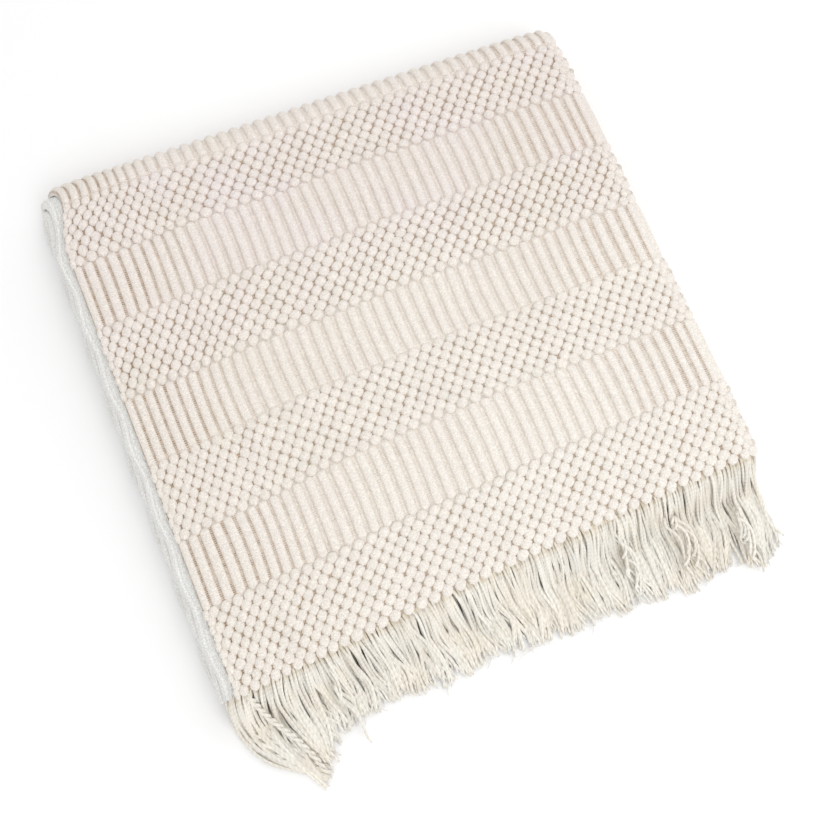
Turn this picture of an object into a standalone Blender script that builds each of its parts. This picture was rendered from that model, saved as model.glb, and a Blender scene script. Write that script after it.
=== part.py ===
"""A knitted throw with two fringed ends, folded into a flat packet.

The cloth is one sheet. It is folded in thirds across, and the strip that this
makes is folded in quarters along, so both fringed ends come to the front edge.
X runs across the packet, Y from the fringe to the back fold, Z up from the floor.
"""

import math
import random
from collections import namedtuple

import bmesh
import bpy
import numpy
from mathutils import Vector

# The cloth
CLOTH_THICKNESS = 0.003
PLY_PITCH = 0.004
STRIP_PITCH = 0.0126
RIB_COUNT = 43
RIB_HEIGHT = 0.0024
RIB_END = 0.004
BUBBLE_HEIGHT = 0.0013

# The packet
FRONT_Y = -0.205
BACK_TURN_Y = 0.1955
FRONT_TURN_Y = -0.191
TOP_LEFT_X = -0.215
LEFT_TURN_X = -0.2205
RIGHT_TURN_X = 0.2195
LAST_EDGE_X = 0.2165
PLY_COUNT = 3
STRIP_COUNT = 4
STRIP_HALF = (PLY_COUNT - 1) / 2 * PLY_PITCH + CLOTH_THICKNESS / 2
STACK_HEIGHT = (STRIP_COUNT - 1) * STRIP_PITCH + 2 * STRIP_HALF

# Where the middle of the packet lies, so that the origin is under the middle of
# everything, the fringe included
PACKET_X = 0.00004
PACKET_Y = 0.03454

# The packet is not square: where the corners of its top face lie from its middle
HALF_WIDTH = 0.215
HALF_DEPTH = 0.205
Corner = namedtuple("Corner", "side end x y")
CORNERS = (
    Corner(side=-1, end=-1, x=-0.2205, y=-0.2055),
    Corner(side=1, end=-1, x=0.213, y=-0.192),
    Corner(side=-1, end=1, x=-0.2215, y=0.206),
    Corner(side=1, end=1, x=0.217, y=0.204),
)
BACK_BOW = 0.001
FRONT_BOW = 0.0028
LEFT_BOW = 0.0016
LEFT_SKEW = -0.0029
CORNER_TUCK = 0.010
FOLD_WOBBLE = 0.0012
FOLD_WAVES = 120.0

# How high the packet stands across it and along it, as a share of its full height.
# It sinks towards its edges, and every layer has points at these places.
Height = namedtuple("Height", "place share")
HEIGHTS_ACROSS = (
    Height(place=-0.260, share=0.80),
    Height(place=-0.180, share=1.00),
    Height(place=-0.065, share=0.975),
    Height(place=0.070, share=1.00),
    Height(place=0.180, share=0.985),
    Height(place=0.260, share=0.82),
)
HEIGHTS_ALONG = (
    Height(place=-0.260, share=0.86),
    Height(place=-0.144, share=1.00),
    Height(place=-0.030, share=0.975),
    Height(place=0.081, share=1.00),
    Height(place=0.136, share=0.99),
    Height(place=0.260, share=0.88),
)

# The bands of knitting, from the fringe to the back fold and over it
Band = namedtuple("Band", "kind length")
BANDS = (
    Band("bubbles", 0.0642),
    Band("ribs", 0.0592),
    Band("bubbles", 0.0589),
    Band("ribs", 0.0534),
    Band("bubbles", 0.0579),
    Band("ribs", 0.0553),
    Band("bubbles", 0.0516),
    Band("ribs", 0.057),
)

# The ribs lie closer on the left than on the right: how far across the top layer they start
Stretch = namedtuple("Stretch", "rib place")
STRETCHES = (
    Stretch(rib=0, place=0.0),
    Stretch(rib=1, place=0.0072),
    Stretch(rib=10, place=0.0880),
    Stretch(rib=28, place=0.2762),
    Stretch(rib=42, place=0.4270),
    Stretch(rib=43, place=0.4345),
)

# The knitting has drifted in the top layer. Its ribs swing to the sides along it, and its
# bands bow towards the back in the middle, by the length from the fringe.
SIDE_DRIFT = -0.0009
SIDE_SWING = 0.00275
SWING_RATE = 27.5
SWING_MIDDLE = 0.2105
Bow = namedtuple("Bow", "place rise")
BOWS = (
    Bow(place=0.0, rise=0.0),
    Bow(place=0.0642, rise=0.0005),
    Bow(place=0.1234, rise=0.0055),
    Bow(place=0.1823, rise=0.0040),
    Bow(place=0.2357, rise=0.0030),
    Bow(place=0.2936, rise=0.0020),
    Bow(place=0.3489, rise=0.0020),
    Bow(place=0.4005, rise=-0.0010),
)
HUMP_PLACES = (0.0, 0.13, 0.22, 0.28, 0.4345)
HUMPS = (-1.0, 0.6, 1.0, 0.7, 0.0)

# A fold's path is a row of runs and turns: a run's size is its length and a turn's its radius.
# A turn's side is +1 to the left and -1 to the right, and its steps are its facets.
Section = namedtuple("Section", "kind size side steps")
ACROSS = (
    Section("run", RIGHT_TURN_X - TOP_LEFT_X, 0, 0),
    Section("turn", PLY_PITCH / 2, -1, 4),
    Section("run", RIGHT_TURN_X - LEFT_TURN_X, 0, 0),
    Section("turn", PLY_PITCH / 2, 1, 4),
    Section("run", LAST_EDGE_X - LEFT_TURN_X, 0, 0),
)
ALONG = (
    Section("run", BACK_TURN_Y - FRONT_Y, 0, 0),
    Section("turn", 1.5 * STRIP_PITCH, -1, 7),
    Section("run", BACK_TURN_Y - FRONT_TURN_Y, 0, 0),
    Section("turn", STRIP_PITCH / 2, -1, 6),
    Section("run", BACK_TURN_Y - FRONT_TURN_Y, 0, 0),
    Section("turn", STRIP_PITCH / 2, 1, 6),
    Section("run", BACK_TURN_Y - FRONT_Y, 0, 0),
)

# How far each quarter of the strip lies to the side, and how much wider it is spread
Lie = namedtuple("Lie", "shift spread")
LIES = (
    Lie(shift=0.0, spread=1.0),
    Lie(shift=-0.0015, spread=1.024),
    Lie(shift=0.0005, spread=1.017),
    Lie(shift=-0.001, spread=1.009),
)

# The fringe
FRINGE_GAP = 0.0003
HEADING_DEPTH = 0.0045
LOCK_THICKNESS = 0.0021
FLOOR_THICKNESS = 0.0016
TIP_THICKNESS = 0.0009
TIP_BREADTH = 0.45
Fringe = namedtuple("Fringe", "name end locks width reach corner_reach landing left_sway right_sway seed")
FRINGES = (
    Fringe(name="fringe_upper", end=0, locks=88, width=0.0036, reach=0.062, corner_reach=0.020,
           landing=0.044, left_sway=0.014, right_sway=0.006, seed=4),
    Fringe(name="fringe_lower", end=1, locks=48, width=0.0058, reach=0.036, corner_reach=0.0,
           landing=0.018, left_sway=0.0, right_sway=0.024, seed=9),
)
REACH_SPREAD = (0.93, 1.05)
LANDING_SPREAD = (0.95, 1.03)
SWAY_WAVES = 0.003
SWAY_RATE = 43.0
SWAY_WIDTH = 0.080

# How a lock falls, in shares of the way out to where it lands, of its drop and of its width
Fall = namedtuple("Fall", "out down breadth")
FALLS = (
    Fall(out=0.22, down=0.10, breadth=1.0),
    Fall(out=0.62, down=0.58, breadth=0.95),
    Fall(out=1.0, down=1.0, breadth=0.85),
)

# The finishes: colour, roughness
CLOTH_COLOUR = (0.80, 0.74, 0.67, 1.0)
FRINGE_COLOUR = (0.81, 0.77, 0.66, 1.0)
ROUGHNESS = 0.9

Station = namedtuple("Station", "place normal section share length")
LockRing = namedtuple("LockRing", "out down up thickness breadth")


def smooth(value):
    """A soft step from 0 to 1."""
    value = min(max(value, 0.0), 1.0)
    return value * value * (3 - 2 * value)


def share_at(heights, place):
    """The share of its full height that the packet has at a place, between two rows of a table."""
    places = [height.place for height in heights]
    shares = [height.share for height in heights]
    return float(numpy.interp(place, places, shares))


def walk(start, sections, first_stops, heights):
    """The stations of a folded path, each with its point and its left-hand normal.

    The first run has its stations at first_stops, in lengths from its start, and the
    other runs have theirs at the places in the table of heights.
    """
    place = Vector(start)
    angle = 0.0
    travelled = 0.0
    stations = []
    for number, section in enumerate(sections):
        direction = Vector((math.cos(angle), math.sin(angle)))
        normal = Vector((-direction.y, direction.x))
        if section.kind == "run":
            stops = first_stops
            if number:
                reached = [(height.place - place.x) * direction.x for height in heights]
                stops = sorted(stop for stop in reached if 0 < stop < section.size) + [section.size]
            for stop in stops:
                share = stop / section.size
                stations.append(Station(place + direction * stop, normal, number, share, travelled + stop))
            place = place + direction * section.size
            travelled += section.size
        else:
            centre = place + normal * section.size * section.side
            for step in range(1, section.steps + 1):
                share = step / section.steps
                turned = angle + section.side * math.pi * share
                left = Vector((-math.sin(turned), math.cos(turned)))
                point = centre - left * section.size * section.side
                along = travelled + math.pi * section.size * share
                stations.append(Station(point, left, number, share, along))
            angle += section.side * math.pi
            place = point
            travelled += math.pi * section.size
    return stations


def band_stops():
    """Where the top layer has a row of points: at each band's ends, and where its ribs stand full."""
    stops = [0.0]
    start = 0.0
    for band in BANDS[:-1]:
        if band.kind == "ribs":
            stops += [start, start + RIB_END, start + band.length - RIB_END]
        else:
            stops += [start + band.length / 2]
        start += band.length
    stops.append(ALONG[0].size)
    return sorted({round(stop, 6) for stop in stops})


def relief(along, crest):
    """How far the knitting rises at this length from the fringe, on a rib's crest or in a groove.

    The last band goes over the back fold and runs out into plain cloth under the packet.
    """
    start = 0.0
    for band in BANDS:
        end = start + band.length
        if start <= along <= end:
            if band.kind == "bubbles":
                return BUBBLE_HEIGHT
            full = smooth(min(along - start, end - along) / RIB_END)
            runs_out = band is BANDS[-1] and along > (start + end) / 2
            level = 0.0 if runs_out else BUBBLE_HEIGHT
            return full * RIB_HEIGHT * crest + (1 - full) * level
        start = end
    return 0.0


def lie_at(station):
    """The side shift and spread of the strip at a station along it."""
    quarter, turning = divmod(station.section, 2)
    here = LIES[quarter]
    if not turning:
        return here.shift, here.spread
    there = LIES[quarter + 1]
    share = smooth(station.share)
    shift = here.shift + (there.shift - here.shift) * share
    spread = here.spread + (there.spread - here.spread) * share
    return shift, spread


def settle(point):
    """Give the squarely folded packet its uneven outline, soft edges and gentle sags."""
    x, y, z = point
    across, along = x / HALF_WIDTH, y / HALF_DEPTH
    low = 1 - z / STACK_HEIGHT
    new_x, new_y = PACKET_X, PACKET_Y
    for corner in CORNERS:
        weight = (1 + corner.side * across) * (1 + corner.end * along) / 4
        new_x += weight * corner.x
        new_y += weight * corner.y
    new_y += BACK_BOW * (1 - across * across) * smooth(along)
    new_y += FRONT_BOW * (1 - across * across) * smooth(-2 * along - 1)
    under = smooth(2 * low)
    slip = LEFT_BOW * (1 - along * along) + LEFT_SKEW * (1 + along) / 2
    new_x -= slip * smooth(-across) * under
    new_x += CORNER_TUCK * smooth(4 * along - 3) * smooth(-2.5 * across - 1.5) * (1 - under)
    new_z = z * share_at(HEIGHTS_ACROSS, x) * share_at(HEIGHTS_ALONG, y)
    return Vector((new_x, new_y, new_z))


def drift(across, along):
    """How far the knitting has drifted at a place in the top layer, to the right and to the back."""
    width, length = ACROSS[0].size, ALONG[0].size
    inner = smooth(across / 0.05) * smooth((width - across) / 0.05)
    top = smooth((length - along) / 0.06)
    sideways = SIDE_DRIFT - SIDE_SWING * math.cos(SWING_RATE * (along - SWING_MIDDLE))
    rise = numpy.interp(along, [bow.place for bow in BOWS], [bow.rise for bow in BOWS])
    hump = numpy.interp(across, HUMP_PLACES, HUMPS)
    return top * inner * sideways, float(top * rise * hump)


def cloth_point(across, along, offset):
    """A point of the folded cloth, this far from its middle surface on its bubbled side."""
    shift, spread = lie_at(along)
    loose = smooth(1 - across.place.y / PLY_PITCH)
    wobble = loose * FOLD_WOBBLE * math.sin(across.place.y / PLY_PITCH + FOLD_WAVES * along.length)
    x = (across.place.x + offset * across.normal.x) * spread + shift + wobble
    height = across.place.y + offset * across.normal.y
    y, z = along.place + along.normal * height
    if across.section == 0 and along.section == 0:
        sideways, lengthways = drift(across.length, along.length)
        x += sideways
        y += lengthways
    return settle((x, y, z))


def across_stations():
    """The stations of the cloth's width, folded in thirds, with two to a rib on the top ply."""
    ribs = [stretch.rib for stretch in STRETCHES]
    places = [stretch.place for stretch in STRETCHES]
    stops = [float(numpy.interp(step / 2, ribs, places)) for step in range(2 * RIB_COUNT + 1)]
    return walk((TOP_LEFT_X, PLY_PITCH), ACROSS, stops, HEIGHTS_ACROSS)


def along_stations():
    """The stations of the cloth's length, folded in quarters, from the upper fringe on."""
    top = STACK_HEIGHT - STRIP_HALF
    return walk((FRONT_Y, top), ALONG, band_stops(), HEIGHTS_ALONG)


def coarse_columns(across):
    """The columns that the plain rows keep: those nearest the table's heights, and all the folds."""
    last = 2 * RIB_COUNT
    places = [TOP_LEFT_X] + [height.place for height in HEIGHTS_ACROSS[1:-1]]
    nearest = {min(range(last), key=lambda column: abs(across[column].place.x - place)) for place in places}
    return sorted(nearest) + list(range(last, len(across)))


def skin(bm, one, other, coarse):
    """Faces between two rows of points; either row may have only the coarse columns."""
    columns = sorted(one) if len(one) == len(other) else coarse
    for left, right in zip(columns, columns[1:]):
        there = [one[column] for column in sorted(one) if left <= column <= right]
        back = [other[column] for column in sorted(other) if left <= column <= right]
        bm.faces.new(there + back[::-1])


def rim(bm, face_rows, reverse_rows, column):
    """The cloth's edge down one side."""
    for row in range(len(face_rows) - 1):
        above = (face_rows[row][column], face_rows[row + 1][column])
        below = (reverse_rows[row + 1][column], reverse_rows[row][column])
        bm.faces.new(above + below)


def finish(bm, name, colour):
    """Turn the points and faces into a named object with its material."""
    ngons = [face for face in bm.faces if len(face.verts) > 4]
    bmesh.ops.triangulate(bm, faces=ngons)
    mesh = bpy.data.meshes.new(name)
    bm.to_mesh(mesh)
    bm.free()
    mesh.shade_smooth()
    mesh.set_sharp_from_angle(angle=math.radians(50))
    material = bpy.data.materials.new(name)
    material.use_nodes = True
    shader = material.node_tree.nodes["Principled BSDF"]
    shader.inputs["Base Color"].default_value = colour
    shader.inputs["Roughness"].default_value = ROUGHNESS
    shader.inputs["Metallic"].default_value = 0.0
    mesh.materials.append(material)
    part = bpy.data.objects.new(name, mesh)
    bpy.context.collection.objects.link(part)
    return part


def make_cloth():
    """The folded sheet, with its ribs raised on the top layer and over the back fold."""
    bm = bmesh.new()
    across = across_stations()
    along = along_stations()
    coarse = coarse_columns(across)
    every = range(len(across))
    face_rows, reverse_rows = [], []
    for row in along:
        knitted = row.section <= 1
        face_row, reverse_row = {}, {}
        for column in every if knitted else coarse:
            crest = across[column].section == 0 and column % 2 == 1
            rise = relief(row.length, crest) if column <= 2 * RIB_COUNT else 0.0
            place = cloth_point(across[column], row, CLOTH_THICKNESS / 2 + rise)
            face_row[column] = bm.verts.new(place)
        for column in coarse:
            place = cloth_point(across[column], row, -CLOTH_THICKNESS / 2)
            reverse_row[column] = bm.verts.new(place)
        face_rows.append(face_row)
        reverse_rows.append(reverse_row)
    for row in range(len(along) - 1):
        skin(bm, face_rows[row], face_rows[row + 1], coarse)
        skin(bm, reverse_rows[row + 1], reverse_rows[row], coarse)
    skin(bm, reverse_rows[0], face_rows[0], coarse)
    skin(bm, face_rows[-1], reverse_rows[-1], coarse)
    rim(bm, face_rows, reverse_rows, coarse[0])
    rim(bm, face_rows, reverse_rows, coarse[-1])
    bmesh.ops.recalc_face_normals(bm, faces=bm.faces)
    return finish(bm, "cloth", CLOTH_COLOUR)


def sway(x, fringe):
    """How far the locks' tips lie to the right of their roots, by their place along the edge."""
    left = fringe.left_sway * smooth((-x - HALF_WIDTH + SWAY_WIDTH) / SWAY_WIDTH)
    right = fringe.right_sway * smooth((x - HALF_WIDTH + SWAY_WIDTH) / SWAY_WIDTH)
    return left + right + SWAY_WAVES * math.sin(SWAY_RATE * x + fringe.seed)


def add_lock(bm, root, fringe, rng):
    """One lock: out from the heading, down in a soft curve, and level on the floor to its tip."""
    centre = sum((vert.co for vert in root), Vector()) / 4
    width = (root[1].co - root[0].co).length
    across = centre.x - PACKET_X
    aside = sway(across, fringe)
    reach = fringe.reach * rng.uniform(*REACH_SPREAD) + fringe.corner_reach * (across / HALF_WIDTH) ** 2
    landing = fringe.landing * rng.uniform(*LANDING_SPREAD)
    drop = centre.z - FLOOR_THICKNESS / 2
    upright, leaning = Vector((0.0, 0.0, 1.0)), Vector((0.0, -0.7, 0.7))
    rings = []
    for fall in FALLS:
        up, thickness = (upright, FLOOR_THICKNESS) if fall is FALLS[-1] else (leaning, LOCK_THICKNESS)
        rings.append(LockRing(fall.out * landing, fall.down * drop, up, thickness, fall.breadth))
    rings.append(LockRing(reach, centre.z - TIP_THICKNESS / 2, upright, TIP_THICKNESS, TIP_BREADTH))
    last = list(root)
    for ring in rings:
        share = ring.out / reach
        middle = centre + Vector((aside * share * share, -ring.out, -ring.down))
        half = Vector((width * ring.breadth / 2, 0.0, 0.0))
        rise = ring.up * ring.thickness / 2
        upper = (middle - half + rise, middle + half + rise)
        lower = (middle + half - rise, middle - half - rise)
        corners = [bm.verts.new(corner) for corner in upper + lower]
        for side in range(4):
            following = (side + 1) % 4
            bm.faces.new((last[side], last[following], corners[following], corners[side]))
        last = corners
    bm.faces.new(last)


def lock_stations(fringe):
    """The heading's stations: a pair for each lock on the first ply, then the folds."""
    pitch = ACROSS[0].size / fringe.locks
    margin = (pitch - fringe.width) / 2
    stops = [0.0]
    for lock in range(fringe.locks):
        stops += [lock * pitch + margin, (lock + 1) * pitch - margin]
    stops.append(ACROSS[0].size)
    return walk((TOP_LEFT_X, PLY_PITCH), ACROSS, stops, HEIGHTS_ACROSS)


def make_fringe(fringe):
    """A narrow heading along a fringed end, with its locks hanging from the outer ply."""
    bm = bmesh.new()
    rng = random.Random(fringe.seed)
    across = lock_stations(fringe)
    ends = along_stations()
    last = ends[-1] if fringe.end else ends[0]
    near, far = FRINGE_GAP, FRINGE_GAP + HEADING_DEPTH
    rows = []
    for distance in (near, far):
        station = last._replace(place=last.place + Vector((-distance, 0.0)))
        rows.append([bm.verts.new(cloth_point(spot, station, CLOTH_THICKNESS / 2)) for spot in across])
        rows.append([bm.verts.new(cloth_point(spot, station, -CLOTH_THICKNESS / 2)) for spot in across])
    face_near, reverse_near, face_far, reverse_far = rows
    for column in range(len(across) - 1):
        following = column + 1
        for one, other in ((face_near, face_far), (face_far, reverse_far),
                           (reverse_far, reverse_near), (reverse_near, face_near)):
            is_lock = one is face_far and column % 2 == 1 and column < 2 * fringe.locks
            corners = (one[column], one[following], other[following], other[column])
            if is_lock and not fringe.end:
                add_lock(bm, corners, fringe, rng)
            elif is_lock:
                flipped = (other[column], other[following], one[following], one[column])
                add_lock(bm, flipped, fringe, rng)
            else:
                bm.faces.new(corners)
    for column in (0, -1):
        bm.faces.new((face_near[column], face_far[column], reverse_far[column], reverse_near[column]))
    bmesh.ops.recalc_face_normals(bm, faces=bm.faces)
    return finish(bm, fringe.name, FRINGE_COLOUR)


def main():
    """Clear the scene and build the throw."""
    for leftover in list(bpy.data.objects):
        bpy.data.objects.remove(leftover)
    make_cloth()
    for fringe in FRINGES:
        make_fringe(fringe)


main()
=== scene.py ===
"""The looks of a knitted throw with fringed ends, folded into a flat packet.

The packet lies on a pale floor. Its cloth is one thin sheet on the folds of its solid,
with every rib raised in the mesh, its bubbles are a mesh of puffs laid on the sheet,
and each fringe is a mesh of single yarns.
"""

import math
from collections import namedtuple

import bpy
import numpy as np
from bpy.props import FloatProperty, FloatVectorProperty, IntProperty, PointerProperty
from mathutils import Matrix, Vector


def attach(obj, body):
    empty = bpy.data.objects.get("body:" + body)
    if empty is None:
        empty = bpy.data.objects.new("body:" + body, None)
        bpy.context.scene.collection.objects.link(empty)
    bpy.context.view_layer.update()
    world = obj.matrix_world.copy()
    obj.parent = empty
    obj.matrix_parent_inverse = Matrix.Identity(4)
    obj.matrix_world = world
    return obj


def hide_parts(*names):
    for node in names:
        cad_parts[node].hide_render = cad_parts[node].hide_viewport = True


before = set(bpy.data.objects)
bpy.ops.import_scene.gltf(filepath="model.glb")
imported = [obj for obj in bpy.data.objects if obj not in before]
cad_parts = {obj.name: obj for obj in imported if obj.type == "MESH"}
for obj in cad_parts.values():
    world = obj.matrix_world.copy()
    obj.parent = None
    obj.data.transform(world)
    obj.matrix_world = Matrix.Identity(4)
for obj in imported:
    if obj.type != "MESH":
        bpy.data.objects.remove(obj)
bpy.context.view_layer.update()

bl_info = {
    "name": "Folded Fringed Throw",
    "version": (1, 0, 0),
    "blender": (4, 5, 0),
    "location": "3D View > Sidebar > Throw",
    "description": "Builds a knitted throw with fringed ends, folded into a flat packet",
    "category": "Object",
}

FULL_TURN = 2 * math.pi

# The cloth, in metres
CLOTH_THICKNESS = 0.003
PLY_PITCH = 0.004
STRIP_PITCH = 0.0126
RIB_COUNT = 43

# The packet
FRONT_Y = -0.205
BACK_TURN_Y = 0.1955
FRONT_TURN_Y = -0.191
TOP_LEFT_X = -0.215
LEFT_TURN_X = -0.2205
RIGHT_TURN_X = 0.2195
LAST_EDGE_X = 0.2165
PLY_COUNT = 3
STRIP_COUNT = 4
STRIP_HALF = (PLY_COUNT - 1) / 2 * PLY_PITCH + CLOTH_THICKNESS / 2
STACK_HEIGHT = (STRIP_COUNT - 1) * STRIP_PITCH + 2 * STRIP_HALF
TOP_WIDTH = RIGHT_TURN_X - TOP_LEFT_X
TOP_LENGTH = BACK_TURN_Y - FRONT_Y
RIB_PITCH = TOP_WIDTH / RIB_COUNT

# The middle of the packet, and the corners of its top face from there
PACKET_X = 0.00004
PACKET_Y = 0.03454
HALF_WIDTH = 0.215
HALF_DEPTH = 0.205
Corner = namedtuple("Corner", "side end x y")
CORNERS = (
    Corner(side=-1, end=-1, x=-0.2205, y=-0.2055),
    Corner(side=1, end=-1, x=0.213, y=-0.192),
    Corner(side=-1, end=1, x=-0.2215, y=0.206),
    Corner(side=1, end=1, x=0.217, y=0.204),
)

# How its edges bow and slant, its back left corner tucks in and its left folds wander
BACK_BOW = 0.001
FRONT_BOW = 0.0028
LEFT_BOW = 0.0016
LEFT_SKEW = -0.0029
CORNER_TUCK = 0.010
FOLD_WOBBLE = 0.0012
FOLD_WAVES = 120.0

# How high the packet stands across it and along it, as a share of its full height
Height = namedtuple("Height", "place share")
HEIGHTS_ACROSS = (
    Height(-0.260, 0.80),
    Height(-0.180, 1.00),
    Height(-0.065, 0.975),
    Height(0.070, 1.00),
    Height(0.180, 0.985),
    Height(0.260, 0.82),
)
HEIGHTS_ALONG = (
    Height(-0.260, 0.86),
    Height(-0.144, 1.00),
    Height(-0.030, 0.975),
    Height(0.081, 1.00),
    Height(0.136, 0.99),
    Height(0.260, 0.88),
)

# The lengths of the bands of knitting, bubbles and ribs in turn: those on top, and the rest
Band = namedtuple("Band", "kind start length")
TOP_BANDS = (0.0642, 0.0592, 0.0589, 0.0534, 0.0579, 0.0553, 0.0516)
LATER_BAND = 0.057

# The ribs lie closer on the left than on the right: how far across the cloth they start
Stretch = namedtuple("Stretch", "rib place")
STRETCHES = (
    Stretch(0, 0.0),
    Stretch(1, 0.0072),
    Stretch(10, 0.0880),
    Stretch(28, 0.2762),
    Stretch(42, 0.4270),
    Stretch(43, 0.4345),
    Stretch(45, 0.4547),
)

# The knitting has drifted in the top layer. Its ribs swing to the sides along it, and its
# bands bow towards the back in the middle, by the length from the fringe.
SIDE_DRIFT = -0.0009
SIDE_SWING = 0.00275
SWING_RATE = 27.5
SWING_MIDDLE = 0.2105
Bow = namedtuple("Bow", "place rise")
BOWS = (
    Bow(0.0, 0.0),
    Bow(0.0642, 0.0005),
    Bow(0.1234, 0.0055),
    Bow(0.1823, 0.0040),
    Bow(0.2357, 0.0030),
    Bow(0.2936, 0.0020),
    Bow(0.3489, 0.0020),
    Bow(0.4005, -0.0010),
)
HUMP_PLACES = (0.0, 0.13, 0.22, 0.28, 0.4345)
HUMPS = (-1.0, 0.6, 1.0, 0.7, 0.0)

# The folds: a run's size is its length and a turn's its radius, to the left or right
Section = namedtuple("Section", "kind size side")
ACROSS = (
    Section("run", TOP_WIDTH, 0),
    Section("turn", PLY_PITCH / 2, -1),
    Section("run", RIGHT_TURN_X - LEFT_TURN_X, 0),
    Section("turn", PLY_PITCH / 2, 1),
    Section("run", LAST_EDGE_X - LEFT_TURN_X, 0),
)
ALONG = (
    Section("run", TOP_LENGTH, 0),
    Section("turn", 1.5 * STRIP_PITCH, -1),
    Section("run", BACK_TURN_Y - FRONT_TURN_Y, 0),
    Section("turn", STRIP_PITCH / 2, -1),
    Section("run", BACK_TURN_Y - FRONT_TURN_Y, 0),
    Section("turn", STRIP_PITCH / 2, 1),
    Section("run", TOP_LENGTH, 0),
)
Lie = namedtuple("Lie", "shift spread")
LIES = (
    Lie(0.0, 1.0),
    Lie(-0.0015, 1.024),
    Lie(0.0005, 1.017),
    Lie(-0.001, 1.009),
)

# Half a rib's width, and its columns of points in shares of that from its crest
RIB_HALF = 0.0037
RIB_MARGIN = 0.42
RIB_COLUMNS = (-1.0, -0.93, -0.76, -0.44, 0.0, 0.44, 0.76, 0.93, 1.0)
RIB_END_STOPS = (0.0, 0.0003, 0.0009, 0.0017, 0.0026, 0.0036)
RIB_END = 0.0034

# How far apart the sheet's rows of points are: on ribs and bubbles that show, on hidden ones,
# round the folds, and at the least
RIB_ROWS = 0.0044
BUBBLE_ROWS = 0.0075
HIDDEN_ROWS = 0.009
FOLD_ROWS = 0.003
CLOSEST_ROWS = 0.00022

# The bubbles: their rows, their spacing and their slanted, squarish shape
BUBBLE_ROW = 0.0061
BUBBLE_PITCH = 0.0105
EDGE_BUBBLE = 0.75
BUBBLE_LEAN = 0.85
BUBBLE_STRETCH = 1.02
OVERHANG = 0.0012
SQUARENESS = 1.75
BUBBLE_CUT = -0.24
BUBBLE_RISE = 0.1
STEP = 0.0015

# The camera, fitted to the packet's corners in the photograph, in pixels and degrees
PHOTO_SIZE = 827
FOCAL_PIXELS = 1000.0
SENSOR_WIDTH = 36.0
CAMERA_ELEVATION = 75.24
CAMERA_AZIMUTH = 42.61
CAMERA_ROLL = 20.0
CAMERA_PLACE = (-0.154 + PACKET_X, -0.207 + PACKET_Y, 0.790)

# The studio: the floor's size, the strength of its pale surroundings, and its lamps
FLOOR_SIZE = 6.0
BACKDROP = 0.80
Lamp = namedtuple("Lamp", "name place size power")
LAMPS = (
    Lamp(name="key", place=(0.2, -1.1, 1.7), size=1.3, power=13.0),
    Lamp(name="fill", place=(0.9, 0.9, 1.5), size=1.6, power=5.0),
)


# The folded shape


def smooth(value):
    """A soft step from 0 to 1, for one value or an array."""
    value = np.clip(value, 0.0, 1.0)
    return value * value * (3 - 2 * value)


class FoldPath:
    """A path of straight runs and half turns, read at any length along it."""

    def __init__(self, start, sections):
        """Lay the sections end to end from start, heading along the first axis."""
        place, angle, travelled = np.array(start, float), 0.0, 0.0
        self.pieces = []
        for section in sections:
            normal = np.array((-math.sin(angle), math.cos(angle)))
            span = section.size if section.kind == "run" else math.pi * section.size
            self.pieces.append((section, place, angle, travelled, span))
            if section.kind == "run":
                place = place + section.size * np.array((math.cos(angle), math.sin(angle)))
            else:
                place = place + 2 * section.size * section.side * normal
                angle += section.side * math.pi
            travelled += span
        self.length = travelled

    def turns(self):
        """The start and the length of each turn."""
        return [piece[3:] for piece in self.pieces if piece[0].kind == "turn"]

    def at(self, lengths):
        """The points at these lengths and the normals to the path's left there, by axis."""
        places, normals = np.zeros((2, 2) + lengths.shape)
        for section, start, angle, travelled, span in self.pieces:
            first = section is self.pieces[0][0]
            last = travelled + span >= self.length - 1e-9
            inside = ((lengths >= travelled) | first) & ((lengths <= travelled + span) | last)
            along = lengths[inside] - travelled
            direction = np.array(((math.cos(angle),), (math.sin(angle),)))
            normal = np.array(((-math.sin(angle),), (math.cos(angle),)))
            if section.kind == "run":
                places[:, inside] = start[:, None] + along * direction
                normals[:, inside] = normal
            else:
                turned = angle + section.side * along / section.size
                left = np.stack((-np.sin(turned), np.cos(turned)))
                places[:, inside] = start[:, None] + section.size * section.side * (normal - left)
                normals[:, inside] = left
        return places, normals


WIDTH_PATH = FoldPath((TOP_LEFT_X, PLY_PITCH), ACROSS)
LENGTH_PATH = FoldPath((FRONT_Y, STACK_HEIGHT - STRIP_HALF), ALONG)
CLOTH_WIDTH = WIDTH_PATH.length
CLOTH_LENGTH = LENGTH_PATH.length
BACK_FOLD_END = LENGTH_PATH.turns()[0][0] + LENGTH_PATH.turns()[0][1]


def column(table, field):
    """One field of every row of a table."""
    return [getattr(row, field) for row in table]


def eased(places, starts, spans, values):
    """What these values come to at places, easing from one to the next over each span."""
    found = np.full(np.shape(places), values[0])
    for start, span, here, there in zip(starts, spans, values, values[1:]):
        found = found + (there - here) * smooth((places - start) / span)
    return found


def share_at(heights, places):
    """The packet's share of its full height at places, by a table of heights."""
    starts = column(heights, "place")
    return eased(places, starts, np.diff(starts), column(heights, "share"))


def lie_at(lengths):
    """The side shift and the spread of the strip at lengths along the cloth."""
    starts, spans = zip(*LENGTH_PATH.turns())
    return [eased(lengths, starts, spans, column(LIES, field)) for field in ("shift", "spread")]


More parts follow.
